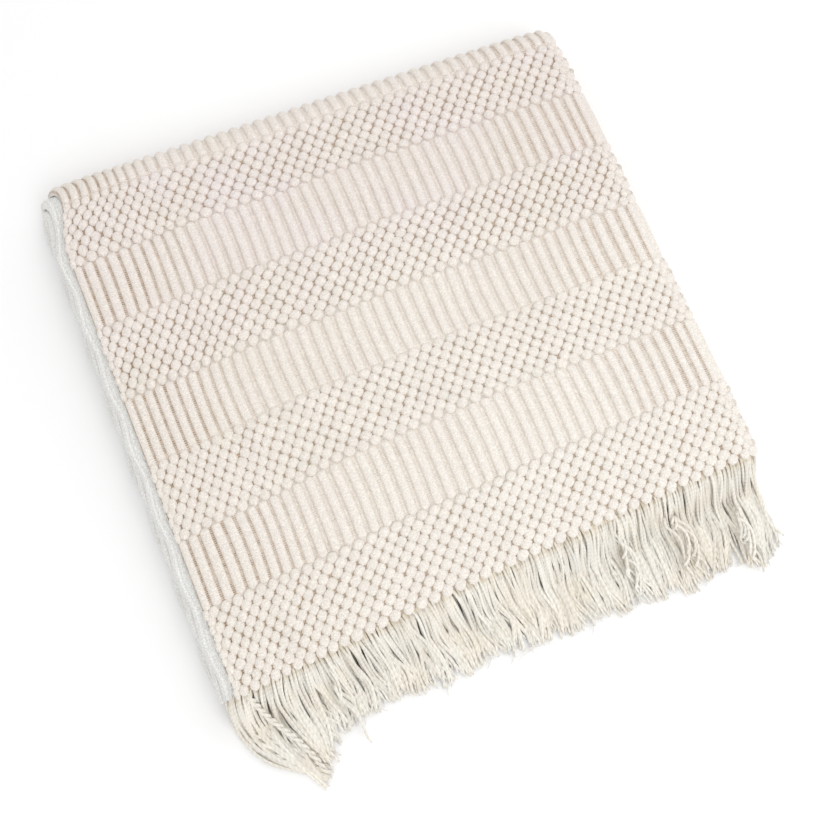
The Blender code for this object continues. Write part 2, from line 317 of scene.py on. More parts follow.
def settle(x, y, z):
    """Give the squarely folded packet its uneven outline, soft edges and gentle sags."""
    across, along = x / HALF_WIDTH, y / HALF_DEPTH
    low = 1 - z / STACK_HEIGHT
    new_x, new_y = PACKET_X, PACKET_Y
    for corner in CORNERS:
        weight = (1 + corner.side * across) * (1 + corner.end * along) / 4
        new_x = new_x + weight * corner.x
        new_y = new_y + weight * corner.y
    new_y = new_y + BACK_BOW * (1 - across * across) * smooth(along)
    new_y = new_y + FRONT_BOW * (1 - across * across) * smooth(-2 * along - 1)
    under = smooth(2 * low)
    slip = LEFT_BOW * (1 - along * along) + LEFT_SKEW * (1 + along) / 2
    new_x = new_x - slip * smooth(-across) * under
    new_x = new_x + CORNER_TUCK * smooth(4 * along - 3) * smooth(-2.5 * across - 1.5) * (1 - under)
    new_z = z * share_at(HEIGHTS_ACROSS, x) * share_at(HEIGHTS_ALONG, y)
    return np.stack(np.broadcast_arrays(new_x, new_y, new_z), axis=-1)


def drift(across, along):
    """Where the knitting has drifted to in the cloth: ribs that swing and bands that bow."""
    inner = smooth(across / 0.05) * smooth((TOP_WIDTH - across) / 0.05)
    top = smooth((TOP_LENGTH - along) / 0.06)
    sideways = SIDE_DRIFT - SIDE_SWING * np.cos(SWING_RATE * (along - SWING_MIDDLE))
    sideways = sideways + 0.0003 * np.sin(47 * along - 61 * across)
    rise = np.interp(along, column(BOWS, "place"), column(BOWS, "rise"))
    lengthways = rise * np.interp(across, HUMP_PLACES, HUMPS)
    lengthways = lengthways + smooth(along / 0.06) * inner * 0.0007 * np.sin(47 * across + 9 * along)
    return across + top * inner * sideways, along + top * lengthways


def cloth_surface(across, along, offset):
    """Points of the folded cloth, this far from its middle surface on its bubbled side."""
    across, along, offset = np.broadcast_arrays(across, along, offset)
    wide, long = drift(across, along)
    (x, height), (lean_x, lean_up) = WIDTH_PATH.at(wide)
    (y, z), (out_y, out_z) = LENGTH_PATH.at(long)
    shift, spread = lie_at(along)
    loose = smooth(1 - height / PLY_PITCH)
    wobble = loose * FOLD_WOBBLE * np.sin(height / PLY_PITCH + FOLD_WAVES * along)
    new_x = (x + offset * lean_x) * spread + shift + wobble
    rise = height + offset * lean_up
    return settle(new_x, y + rise * out_y, z + rise * out_z)


def bands():
    """Every band of the cloth's length, fringe to fringe."""
    found = []
    start = 0.0
    while start < CLOTH_LENGTH:
        number = len(found)
        length = TOP_BANDS[number] if number < len(TOP_BANDS) else LATER_BAND
        kind = "ribs" if number % 2 else "bubbles"
        found.append(Band(kind, start, min(length, CLOTH_LENGTH - start)))
        start += length
    return found


def in_bubbles(along):
    """Whether a length from the fringe is well inside a bubbled band."""
    return any(band.kind == "bubbles" and band.start + 0.0001 < along < band.start + band.length - 0.0001
               for band in bands()) or along <= 0.0001


def rib_place(rib):
    """How far across the cloth a rib starts, by its number from the left."""
    return np.interp(rib, column(STRETCHES, "rib"), column(STRETCHES, "place"))


def rib_at(across):
    """The number of the rib at a place across the cloth, with its share."""
    return np.interp(across, column(STRETCHES, "place"), column(STRETCHES, "rib"))


def rib_aside(across):
    """How far places in the cloth are from a rib's crest, in shares of half its width."""
    rib = np.floor(rib_at(across))
    start, end = rib_place(rib), rib_place(rib + 1)
    half = np.clip(RIB_MARGIN * (end - start), 1e-9, RIB_HALF)
    return np.abs(across - (start + end) / 2) / half


def rib_shape(across, along):
    """How full a rib stands at places in the cloth, from 0 in a groove to 1 on its crest.

    The ribs that go over the back fold are rounder and stand a little higher.
    """
    aside = rib_aside(across)
    full = np.zeros(np.broadcast(across, along).shape)
    for band in bands():
        if band.kind == "ribs":
            knobbly = band.start + band.length > TOP_LENGTH
            side = aside ** (1.7 if knobbly else 2.4)
            inside = np.minimum(along - band.start, band.start + band.length - along)
            away = (1 - np.clip(inside / RIB_END, 0, 1)) ** 2
            rise = np.sqrt(np.clip(1 - side - away, 0, 1)) * (1.05 if knobbly else 1.0)
            full = np.where(inside >= 0, rise, full)
    return np.where(across < TOP_WIDTH + RIB_PITCH, full, 0.0)


def column_places():
    """The cloth's columns of points, and those of them that the plain rows keep."""
    fine = []
    for rib in range(RIB_COUNT + 1):
        start, end = float(rib_place(rib)), float(rib_place(rib + 1))
        half = min(RIB_HALF, RIB_MARGIN * (end - start))
        fine.append(start)
        fine += [(start + end) / 2 + share * half for share in RIB_COLUMNS]
    fine.append(end)
    per_rib = len(RIB_COLUMNS) + 1
    kept = list(range(0, RIB_COUNT * per_rib, 4 * per_rib)) + list(range(RIB_COUNT * per_rib, len(fine)))
    (_, _), (turn, span) = WIDTH_PATH.turns()
    under = np.linspace(fine[-1], turn, 13)[1:]
    fold = np.linspace(turn, turn + span, 9)[1:]
    last = np.linspace(turn + span, CLOTH_WIDTH, 12)[1:]
    places = fine + list(under) + list(fold) + list(last)
    return np.array(places), kept + list(range(len(fine), len(places)))


def row_places():
    """The cloth's rows of points, close where the ribs end and round the tight folds."""
    places = set()
    for band in bands():
        end = band.start + band.length
        seen = band.start < BACK_FOLD_END
        shown = RIB_ROWS if band.kind == "ribs" else BUBBLE_ROWS
        spacing = shown if seen else HIDDEN_ROWS
        steps = max(1, round(band.length / spacing))
        places.update(np.linspace(band.start, end, steps + 1))
        if band.kind == "ribs":
            stops = RIB_END_STOPS if seen else RIB_END_STOPS[::2]
            places.update(band.start + stop for stop in stops)
            places.update(end - stop for stop in stops)
    for start, span in LENGTH_PATH.turns():
        places.update(np.linspace(start, start + span, max(10, round(span / FOLD_ROWS)) + 1))
    rows = []
    for place in sorted(places):
        if place <= CLOTH_LENGTH and (not rows or place - rows[-1] > CLOSEST_ROWS):
            rows.append(float(place))
    return np.array(rows)


# Objects and templates


def new_object(name, points, faces, fields, material):
    """A piece made of points and faces, smooth, with its fields stored on its points."""
    mesh = bpy.data.meshes.new(name)
    mesh.from_pydata(np.asarray(points).reshape(-1, 3).tolist(), [], faces)
    mesh.validate()
    for field, values in fields.items():
        values = np.asarray(values, np.float32)
        kind = "FLOAT" if values.ndim == 1 else "FLOAT_VECTOR"
        attribute = mesh.attributes.new(field, kind, "POINT")
        attribute.data.foreach_set("value" if values.ndim == 1 else "vector", values.ravel())
    mesh.shade_smooth()
    mesh.materials.append(material)
    piece = bpy.data.objects.new(name, mesh)
    bpy.context.collection.objects.link(piece)
    return piece


def deselect_all():
    """Leave nothing selected."""
    for thing in bpy.context.selected_objects:
        thing.select_set(False)


def take_template(piece):
    """The points and faces of a modelled shape, whose own object is then removed."""
    mesh = piece.data
    points = np.array([vertex.co[:] for vertex in mesh.vertices])
    faces = [tuple(polygon.vertices) for polygon in mesh.polygons]
    bpy.data.objects.remove(piece)
    bpy.data.meshes.remove(mesh)
    return points, faces


def copied_faces(faces, point_count, copies):
    """The faces of a shape, once for each of its copies."""
    return [tuple(index + copy * point_count for index in face)
            for copy in range(copies) for face in faces]


# Materials

# How far apart the stitches, the courses and the plain side's stitches are, and a yarn's turns
STITCH = 0.0017
COURSE = 0.0012
PLAIN_STITCH = 0.0024
TWIST = 0.0046


class Socket:
    """A node's output with arithmetic: an expression on values adds its Math nodes."""

    def __init__(self, shader, output):
        """Keep the output and the shader tree that it belongs to."""
        self.shader = shader
        self.output = output

    def math(self, operation, *others):
        """One Math node on this value and others."""
        return self.shader.node("ShaderNodeMath", {"operation": operation}, *((self,) + others))

    def __add__(self, other):
        return self.math("ADD", other)

    __radd__ = __add__

    def __rsub__(self, other):
        return self.shader.node("ShaderNodeMath", {"operation": "SUBTRACT"}, other, self)

    def __mul__(self, other):
        return self.math("MULTIPLY", other)

    def __pow__(self, other):
        return self.math("POWER", other)

    def sine(self):
        """The sine of this value."""
        return self.math("SINE")

    def part(self, axis):
        """One axis of this vector."""
        return self.shader.node("ShaderNodeSeparateXYZ", {}, self, output=axis)

    def clamped(self, low, high):
        """This value eased from 0 at low to 1 at high."""
        return self.shader.node("ShaderNodeMapRange", {"interpolation_type": "SMOOTHSTEP"}, self, low, high)


class Shader:
    """A new material, whose nodes are added by expressions."""

    def __init__(self, name, roughness, sheen):
        """A matt Principled material with one roughness and sheen all over."""
        self.material = bpy.data.materials.new(name)
        self.material.use_nodes = True
        self.tree = self.material.node_tree
        self.surface = self.tree.nodes["Principled BSDF"]
        self.surface.inputs["Roughness"].default_value = roughness
        self.surface.inputs["Specular IOR Level"].default_value = 0.2
        self.surface.inputs["Sheen Weight"].default_value = sheen
        self.surface.inputs["Sheen Roughness"].default_value = 0.6

    def link(self, socket, value):
        """Set or link one input."""
        if isinstance(value, Socket):
            self.tree.links.new(socket, value.output)
        else:
            socket.default_value = value

    def node(self, kind, settings, *inputs, output=0, **named):
        """A node of any kind with its settings, its inputs in order or by name, and one output."""
        node = self.tree.nodes.new(kind)
        for setting, value in settings.items():
            setattr(node, setting, value)
        for socket, value in zip(node.inputs, inputs):
            self.link(socket, value)
        for name, value in named.items():
            self.link(node.inputs[name.replace("_", " ")], value)
        return Socket(self, node.outputs[output])

    def field(self, name):
        """A field stored on the piece's points: its vector and its value."""
        node = self.tree.nodes.new("ShaderNodeAttribute")
        node.attribute_name = name
        return Socket(self, node.outputs["Vector"]), Socket(self, node.outputs["Fac"])

    def place(self):
        """The place on the object."""
        return self.node("ShaderNodeTexCoord", {}, output="Object")

    def noise(self, vector, scale, detail=2.0):
        """Soft noise about 0.5."""
        return self.node("ShaderNodeTexNoise", {}, Vector=vector, Scale=scale, Detail=detail)

    def mix(self, share, one, other, blend="MIX"):
        """One colour mixed into another."""
        node = self.tree.nodes.new("ShaderNodeMix")
        node.data_type = "RGBA"
        node.blend_type = blend
        self.link(node.inputs[0], share)
        self.link(node.inputs[6], one)
        self.link(node.inputs[7], other)
        return Socket(self, node.outputs[2])

    def finish(self, colour, shade, height, strength, distance):
        """Feed the shaded colour and the bump to the surface."""
        grey = self.node("ShaderNodeCombineColor", {}, shade, shade, shade)
        colour = self.mix(1.0, colour, grey, "MULTIPLY")
        bump = self.node("ShaderNodeBump", {}, Height=height, Strength=strength, Distance=distance)
        self.link(self.surface.inputs["Base Color"], colour)
        self.link(self.surface.inputs["Normal"], bump)
        return self.material


def knit_material(name, colours):
    """Ivory knit: fuzzy stitches, painted brown shade in its grooves, holes and gaps between bubbles, with
    rungs across them and soft patches.
    """
    shader = Shader(name, 0.95, 0.25)
    weave, _ = shader.field("weave")
    _, tone = shader.field("tone")
    _, reverse = shader.field("reverse")
    across, along, groove = weave.part(0), weave.part(1), weave.part(2)
    place = shader.place()
    patches = shader.noise(place, 11.0, 1.0).clamped(0.35, 0.65)
    warmth = shader.noise(place, 23.0, 1.0).clamped(0.35, 0.65)
    back = along.clamped(0.385, 0.41)
    rosy = (along.clamped(0.20, 0.34) * 0.8 + across.clamped(0.25, 0.45) * 0.25) * (0.4 + patches * 0.6)
    base = shader.mix(rosy * (1.0 - back * 0.8), colours.ivory, colours.rose)
    base = shader.mix(warmth * 0.5, base, colours.cream)
    front = 1.0 - along.clamped(0.04, 0.22)
    pale = across.clamped(0.05, 0.20) * (1.0 - along.clamped(0.20, 0.34)) * (0.5 + patches * 0.5)
    base = shader.mix(pale * 0.6 + front * 0.25, base, colours.pale)
    base = shader.mix(reverse, base, colours.reverse)
    mottle = shader.noise(place, 820.0, 2.0).clamped(0.32, 0.68)
    rung = (along * (FULL_TURN / STITCH)).sine() * 0.5 + 0.5
    pits = shader.noise(place, 260.0, 1.0).clamped(0.3, 0.7)
    # How strongly the grooves' painted shade shows: most near the left edge, less at the right, least in
    # the middle, with soft noise
    edge = 1.0 - across.clamped(0.02, 0.11) * (1.0 - across.clamped(0.30, 0.44) * 0.55)
    groove_shade_strength = 0.05 + edge * 0.85 + shader.noise(place, 31.0, 1.0) * 0.4
    deep = groove.clamped(0.3, 0.95) * groove_shade_strength
    ground = groove.clamped(1.1, 1.9)
    # Painted brown shade in the grooves and on the bubbles' flanks, painted darker shade in the holes
    # between the rungs, and the darkest painted shade on the bare ground between bubbles
    base = shader.mix(deep * 0.5, base, colours.groove)
    base = shader.mix(deep * (1.0 - rung) * (0.2 + pits * 0.8), base, colours.pit)
    base = shader.mix(ground * 0.62, base, colours.pit)
    shade = 0.88 + tone * 0.04 + mottle * 0.21
    stitch = (across * (FULL_TURN / STITCH)).sine() * 0.5
    rows = (along * (FULL_TURN / COURSE) + stitch * 2.5).sine()
    selvedge = (across * (FULL_TURN / PLAIN_STITCH)).sine() * reverse
    height = rows * 0.3 + mottle * 0.8 + rung * deep * 0.8 + selvedge
    return shader.finish(base, shade, height, 0.7, 0.0006)


def yarn_material(name, colours):
    """Cream plied yarn: its plies wind round it, with painted brown shade between them and near the cloth,
    a little fuzzy.
    """
    shader = Shader(name, 0.95, 0.4)
    weave, _ = shader.field("weave")
    _, tone = shader.field("tone")
    around, along, root = weave.part(0), weave.part(1), weave.part(2)
    twist = (around * (2 * FULL_TURN) + along * (FULL_TURN / TWIST)).sine()
    place = shader.place()
    patches = shader.noise(place, 30.0, 1.0).clamped(0.35, 0.65)
    base = shader.mix(patches, colours.fringe, colours.yarn)
    # Painted brown shade between the plies
    base = shader.mix((0.5 - twist * 0.5) ** 2.0 * 0.22, base, colours.root)
    # Painted brown shade at the root and on the under yarns
    base = shader.mix(root * (0.75 - tone * 0.5), base, colours.root)
    shade = 0.86 + tone * 0.16
    fuzz = shader.noise(place, 1200.0, 2.0)
    return shader.finish(base, shade, twist * 0.6 + fuzz * 0.5, 0.5, 0.0004)


# Settings


def length_setting(name, description, metres):
    """A length that can be set."""
    return FloatProperty(name=name, description=description, default=metres, subtype="DISTANCE",
                         unit="LENGTH")


def colour_setting(name, description, red, green, blue):
    """A colour that can be set."""
    return FloatVectorProperty(name=name, description=description, size=4, subtype="COLOR", min=0, max=1,
                               default=(red, green, blue, 1.0))


class ThrowSizes(bpy.types.PropertyGroup):
    """The sizes of the knitting and the yarn."""

    rib_height: length_setting("Rib Height", "How far a rib stands up", 0.0027)
    bubble_height: length_setting("Bubble Height", "How far a bubble stands up", 0.0031)
    bubble_width: length_setting("Bubble Width", "Width of a bubble across the cloth", 0.0098)
    bubble_length: length_setting("Bubble Length", "Length of a bubble along the cloth", 0.0096)
    yarn: length_setting("Fringe Yarn", "Thickness of a fringe yarn", 0.0022)
    yarns: IntProperty(name="Yarns per Layer", description="Fringe yarns on one layer's edge", default=190)


class ThrowColours(bpy.types.PropertyGroup):
    """The colours of the knit, the fringe and the floor."""

    ivory: colour_setting("Ivory", "Most of the knit", 0.90, 0.835, 0.765)
    rose: colour_setting("Rose", "The pinker patches", 0.895, 0.81, 0.79)
    pale: colour_setting("Pale", "The palest part, in the middle and the front", 0.955, 0.905, 0.835)
    cream: colour_setting("Cream", "The yellower patches", 0.88, 0.82, 0.73)
    reverse: colour_setting("Reverse", "The plain side of the knit", 0.92, 0.91, 0.88)
    # Painted brown shade in the grooves, on the bubbles' flanks and in their gaps
    groove: colour_setting("Groove", "Between ribs and bubbles", 0.75, 0.62, 0.52)
    # Painted dark shade in the holes between stitches and on the ground between bubbles
    pit: colour_setting("Pit", "The darkest holes between stitches", 0.41, 0.27, 0.15)
    fringe: colour_setting("Fringe", "The fringe yarn", 0.93, 0.885, 0.80)
    # Painted brown shade where the fringe yarn leaves the cloth, on the under yarns and between its plies
    root: colour_setting("Root", "The fringe yarn where it leaves the cloth", 0.62, 0.50, 0.33)
    yarn: colour_setting("Pale Yarn", "The paler fringe yarn", 0.94, 0.92, 0.86)
    floor: colour_setting("Floor", "The floor", 0.95, 0.95, 0.95)


# The sheet

# The groove value of the ground between bubbles, past the 1 of the deepest groove between ribs; the groove
# value sets how much painted shade the knit gets
BARE = 2.0


def skin(one, other, columns_one, columns_other, columns):
    """Faces between two rows of points, either of which may have only the plain columns."""
    faces = []
    places_one = {column: place for place, column in enumerate(columns_one)}
    places_other = {column: place for place, column in enumerate(columns_other)}
    for left, right in zip(columns, columns[1:]):
        there = [one + place for place in range(places_one[left], places_one[right] + 1)]
        back = [other + place for place in range(places_other[left], places_other[right] + 1)]
        faces.append(tuple(there + back[::-1]))
    return faces


def cloth_mesh(sizes):
    """The points, faces and fields of the folded sheet, a closed shell with its ribs raised."""
    places, plain = column_places()
    rows = row_places()
    every = list(range(len(places)))
    points, weave, reverse, starts = [], [], [], {}
    total = 0
    for side in ("face", "reverse"):
        for number, along in enumerate(rows):
            seen = side == "face" and along <= BACK_FOLD_END
            columns = every if seen else plain
            across = places[columns]
            offset, groove = -CLOTH_THICKNESS / 2, np.zeros(len(columns))
            if side == "face":
                offset = CLOTH_THICKNESS / 2 + sizes.rib_height * rib_shape(across, along)
                # The groove value sets the painted shade: full on the ground between bubbles, rising into
                # each groove between ribs
                groove = BARE if in_bubbles(along) else smooth((rib_aside(across) - 0.80) / 0.20)
                groove = np.where(across < TOP_WIDTH - 0.001, groove, 0.0)
            reverse.append(np.full(len(columns), float(side == "reverse")))
            points.append(cloth_surface(across, along, offset))
            weave.append(np.stack((across, np.full(len(columns), along), groove), axis=-1))
            starts[side, number] = (total, columns)
            total += len(columns)
    faces = []

    def join(one, other):
        (start_one, columns_one), (start_other, columns_other) = starts[one], starts[other]
        common = columns_one if len(columns_one) == len(columns_other) else plain
        faces.extend(skin(start_one, start_other, columns_one, columns_other, common))

    last = len(rows) - 1
    for row in range(last):
        join(("face", row), ("face", row + 1))
        join(("reverse", row + 1), ("reverse", row))
    join(("reverse", 0), ("face", 0))
    join(("face", last), ("reverse", last))
    for row in range(last):
        corners = [starts[side, row + step]
                   for side, step in (("face", 0), ("reverse", 0), ("reverse", 1), ("face", 1))]
        faces.append(tuple(start for start, _ in corners[:1] + corners[:0:-1]))
        faces.append(tuple(start + len(columns) - 1 for start, columns in corners))
    points = np.concatenate(points)
    points[:, 2] = np.maximum(points[:, 2], 0.0)
    return points, faces, np.concatenate(weave), np.concatenate(reverse)


# The bubbles


def rotated(x, y, angle):
    """These coordinates turned by an angle, anticlockwise."""
    return x * np.cos(angle) - y * np.sin(angle), x * np.sin(angle) + y * np.cos(angle)


def bubble_template():
    """One bubble: a sphere cut off below its waist and closed."""
    deselect_all()
    bpy.ops.mesh.primitive_uv_sphere_add(segments=12, ring_count=6, radius=1.0)
    piece = bpy.context.object
    bpy.ops.object.mode_set(mode="EDIT")
    bpy.ops.mesh.select_all(action="SELECT")
    bpy.ops.mesh.bisect(plane_co=(0, 0, BUBBLE_CUT), plane_no=(0, 0, 1), clear_inner=True, use_fill=True)
    bpy.ops.object.mode_set(mode="OBJECT")
    return take_template(piece)


def bubble_sites():
    """Where the bubbles lie in the cloth, as a lattice in each bubbled band, and their widths."""
    sites = []
    for band in bands():
        if band.kind == "ribs":
            continue
        count = max(1, round(band.length / BUBBLE_ROW))
        over = 0.0 if band.start else OVERHANG
        for row in range(count):
            along = band.start - over + (row + 0.5) * (band.length + over) / count
            seen = along < BACK_FOLD_END
            half = row % 2 == 0
            for rib in range(RIB_COUNT + 1):
                middle = rib + (1.0 if half else 0.5)
                across = float(rib_place(middle))
                narrow = min(1.0, float(rib_place(middle + 0.5) - rib_place(middle - 0.5)) / BUBBLE_PITCH)
                if middle >= RIB_COUNT:
                    narrow = EDGE_BUBBLE
                if seen or rib >= RIB_COUNT - 1:
                    sites.append((across, along, narrow))
            if half and seen:
                sites.append((0.25 * float(rib_place(1)), along, 0.5))
    return np.array(sites)


def bubble_mesh(sizes, rng):
    """The points, faces and fields of all the bubbles."""
    shape, faces = bubble_template()
    bearing = np.arctan2(shape[:, 1], shape[:, 0])
    corners = np.abs(np.cos(bearing)) ** SQUARENESS + np.abs(np.sin(bearing)) ** SQUARENESS
    corners = corners ** (-1 / SQUARENESS)
    ahead, aside = rotated(shape[:, 0], shape[:, 1], -BUBBLE_LEAN)
    ahead, aside = ahead * corners * BUBBLE_STRETCH, aside * corners / BUBBLE_STRETCH
    flat_x, flat_y = rotated(ahead, aside, BUBBLE_LEAN)
    crown = np.sign(shape[:, 2]) * np.abs(shape[:, 2]) ** 0.8
    across, along, narrow = bubble_sites().T
    base = CLOTH_THICKNESS / 2
    centre = cloth_surface(across, along, base)
    wide = cloth_surface(across + STEP, along, base) - cloth_surface(across - STEP, along, base)
    long = cloth_surface(across, along + STEP, base) - cloth_surface(across, along - STEP, base)
    wide, long = wide / (2 * STEP), long / (2 * STEP)
    up = np.cross(wide, long)
    up /= np.linalg.norm(up, axis=1)[:, None]
    count = len(across)
    turn = rng.normal(0.0, 0.09, count)
    swell = rng.normal(1.0, 0.035, (count, 3))
    x, y = rotated(flat_x, flat_y, turn[:, None])
    x = x * sizes.bubble_width / 2 * (swell[:, 0] * narrow)[:, None]
    y = y * sizes.bubble_length / 2 * swell[:, 1:2]
    z = (crown + BUBBLE_RISE) * sizes.bubble_height / (1 + BUBBLE_RISE)
    z = z * (swell[:, 2] * (0.4 + 0.6 * narrow))[:, None]
    nudge = rng.normal(0.0, 0.0002, (count, 2))
    points = (centre[:, None] + wide[:, None] * (x + nudge[:, :1])[..., None]
              + long[:, None] * (y + nudge[:, 1:])[..., None] + up[:, None] * z[..., None])
    # The groove value paints shade on each bubble's flanks, darker towards its base
    groove = smooth((0.45 - crown) / 0.8) * 0.62
    weave = np.stack((across[:, None] + x, along[:, None] + y,
                      np.broadcast_to(groove, x.shape)), axis=-1)
    points[..., 2] = np.maximum(points[..., 2], 0.0)
    tone = np.repeat(rng.uniform(0.0, 1.0, count), len(shape))
    return points, copied_faces(faces, len(shape), count), weave.reshape(-1, 3), tone


# The fringes

# A yarn's sides, and its rings of points
YARN_SIDES = 6
YARN_RINGS = 21

# How far the yarns lean to the right, bulge on their way and reach, by their root's place
Hang = namedtuple("Hang", "place lean bulge reach")
HANGS = (
    Hang(-0.235, 0.044, -0.010, 0.084),
    Hang(-0.219, 0.033, -0.014, 0.086),
    Hang(-0.195, 0.016, -0.009, 0.083),
    Hang(-0.170, 0.004, 0.0, 0.066),
    Hang(-0.145, 0.012, 0.002, 0.057),
    Hang(-0.090, 0.010, 0.003, 0.066),
    Hang(-0.028, 0.008, 0.003, 0.067),
    Hang(0.030, 0.008, 0.003, 0.070),
    Hang(0.080, 0.006, 0.003, 0.073),
    Hang(0.140, 0.005, 0.004, 0.081),
    Hang(0.195, 0.001, 0.005, 0.088),
    Hang(0.208, 0.002, 0.005, 0.084),
    Hang(0.222, 0.004, 0.004, 0.076),
)
Fringe = namedtuple("Fringe", "name end share reach landing lift seed")
FRINGES = (
    Fringe(name="fringe_upper", end=0, share=1.0, reach=1.0, landing=0.034, lift=0.002, seed=4),
    Fringe(name="fringe_lower", end=1, share=0.65, reach=0.85, landing=0.020, lift=0.0, seed=9),
)

# How unevenly the yarns hang: their clumps' places, number and pull, their strays and their sway
CLUMP_START = -0.245
CLUMP_GAPS = (0.008, 0.017)
CLUMP_COUNT = 60
CLUMP_PULL = (0.05, 0.42)
STRAY_SHARE = 0.06
STRAY_LEAN = 0.009
SWAY = 0.0016

# The places of the fringe's tangles and the points of its thick twisted strand, from the packet's middle
Tangle = namedtuple("Tangle", "x y size loops")
TANGLES = (
    Tangle(0.094, -0.230, 0.0060, 6),
    Tangle(0.143, -0.236, 0.0055, 5),
    Tangle(0.193, -0.254, 0.0055, 5),
    Tangle(-0.150, -0.240, 0.0040, 3),
)
TANGLE_LENGTH = 0.050
STRAND_RINGS = 81
STRAND_PITCH = 0.013
STRAND = ((-0.214, -0.196, 0.041), (-0.213, -0.207, 0.040), (-0.206, -0.228, 0.022),
          (-0.193, -0.251, 0.011), (-0.185, -0.270, 0.007), (-0.182, -0.282, 0.005))
WISPS = 90
UNDER_YARN = 1.25
# How much painted brown shade the top yarns and the under yarns get at the root and past it
UPPER_ROOT_SHADE = (1.0, 0.0)
UNDER_ROOT_SHADE = (0.55, 0.12)
HEADING_RINGS = 101
HEADING_RADIUS = 0.0012
HEADING_OUT = -0.0016


def yarn_template(rings):
    """One yarn: a thin tube with a ring of points at each step along it."""
    deselect_all()
    bpy.ops.mesh.primitive_cylinder_add(vertices=YARN_SIDES, radius=1.0, depth=1.0, location=(0, 0, 0.5))
    piece = bpy.context.object
    bpy.ops.object.mode_set(mode="EDIT")
    bpy.ops.mesh.select_mode(type="EDGE")
    bpy.ops.mesh.select_all(action="DESELECT")
    bpy.ops.object.mode_set(mode="OBJECT")
    mesh = piece.data
    for edge in mesh.edges:
        one, other = (mesh.vertices[index].co for index in edge.vertices)
        edge.select = abs(one.z - other.z) > 0.5
    bpy.ops.object.mode_set(mode="EDIT")
    bpy.ops.mesh.subdivide(number_cuts=rings - 2)
    bpy.ops.object.mode_set(mode="OBJECT")
    piece.data.transform(Matrix.Translation((0, 0, 0.5)))
    return take_template(piece)


def hang_at(field, place):
    """A field of the hanging yarns at a place along the edge."""
    return np.interp(place, column(HANGS, "place"), column(HANGS, field))


def yarn_roots(fringe, sizes, rng):
    """Where the yarns leave the cloth's end, in all its layers."""
    (first, span), (second, _) = WIDTH_PATH.turns()
    runs = ((0.0, first), (first + span, second), (second + span, CLOTH_WIDTH))
    count = round(sizes.yarns * fringe.share)
    across = []
    for start, end in runs:
        spots = np.linspace(start + 0.0012, end - 0.0012, count)
        across.append(spots + rng.uniform(-0.0009, 0.0009, count))
    across = np.concatenate(across)
    along = CLOTH_LENGTH - 0.002 if fringe.end else 0.002
    return cloth_surface(across, along, rng.uniform(-0.0005, 0.0007, len(across)))


def yarn_paths(fringe, sizes, rng):
    """The routes of one fringe's yarns and their radii: they fall, clump and lie on the floor."""
    root = yarn_roots(fringe, sizes, rng)
    count = len(root)
    place = root[:, 0] - PACKET_X
    clumps = np.cumsum(rng.uniform(*CLUMP_GAPS, CLUMP_COUNT)) + CLUMP_START
    nearby = place + rng.normal(0, 0.004, count)
    nearest = np.argmin(np.abs(nearby[:, None] - clumps[None, :]), axis=1)
    pull = (clumps[nearest] - place) * rng.uniform(*CLUMP_PULL, count)
    stray = np.where(rng.uniform(size=count) < STRAY_SHARE, rng.normal(0.0, STRAY_LEAN, count), 0.0)
    clump_lean = rng.normal(0.0, 0.003, len(clumps))[nearest]
    lean = hang_at("lean", place) + pull + stray + clump_lean + rng.normal(0.0, 0.0018, count)
    bulge = hang_at("bulge", place) + rng.normal(0.0, 0.0016, count)
    short = 1 - np.abs(rng.normal(0.0, 0.08, count))
    clump_reach = rng.normal(1.0, 0.04, len(clumps))[nearest]
    reach = hang_at("reach", place) * fringe.reach * np.clip(short, 0.6, 1.0) * clump_reach
    landing = fringe.landing * rng.uniform(0.85, 1.15, count)
    radius = sizes.yarn / 2 * rng.uniform(0.85, 1.12, count)
    radius = np.where(np.arange(count) < count // PLY_COUNT, radius, radius * UNDER_YARN)
    layer = fringe.lift + rng.uniform(0.0, 1.0, count) ** 1.5 * 0.007
    share = np.linspace(0.0, 1.0, YARN_RINGS)[None, :]
    out = reach[:, None] * share
    fallen = smooth(out / landing[:, None])
    low = radius[:, None] + layer[:, None] * (1 - 0.75 * share)
    clump_phase = rng.uniform(0.0, FULL_TURN, len(clumps))[nearest][:, None]
    waves = rng.uniform(0.7, 1.9, count)[:, None]
    phase = rng.uniform(0.0, FULL_TURN, count)[:, None]
    sway = rng.normal(0.0, SWAY, count)[:, None]
    aside = lean[:, None] * share ** 1.7 + bulge[:, None] * np.sin(math.pi * share)
    aside = aside + sway * np.sin(FULL_TURN * waves * share + phase) * np.sqrt(share)
    aside = aside + 0.0022 * np.sin(FULL_TURN * 1.1 * share + clump_phase) * share
    rise = 0.0012 * np.sin(FULL_TURN * waves * 1.3 * share + 2 * phase) * share
    height = low + (root[:, 2:] - low) * (1 - fallen) + np.abs(rise)
    route = np.stack((root[:, :1] + aside, root[:, 1:2] - out, height), axis=-1)
    return route, radius


def tangle_paths(sizes, rng):
    """The routes and radii of the yarns that loop round each other in the fringe's tangles."""
    share = np.linspace(0.0, 1.0, YARN_RINGS)
    routes = []
    for tangle in TANGLES:
        for _ in range(tangle.loops):
            start, end = rng.normal(0.0, 0.0035, (2, 2))
            size = tangle.size * rng.uniform(0.5, 1.2)
            angle = FULL_TURN * (rng.uniform(0.7, 1.5) * share + rng.uniform())
            window = np.sin(math.pi * share)
            x = tangle.x - 0.004 + start[0] + (0.008 + end[0] - start[0]) * share
            y = tangle.y + TANGLE_LENGTH * (0.5 - share) + end[1]
            z = 0.022 - 0.016 * share + rng.uniform(0.0, 0.004) * (1 - share)
            x = x + size * window * np.sin(angle)
            y = y + size * window * np.cos(angle)
            z = z + 0.0025 * window * np.sin(2 * angle)
            routes.append(np.stack((x + PACKET_X, y + PACKET_Y, z), axis=-1))
    return np.array(routes), np.full(len(routes), sizes.yarn / 2)


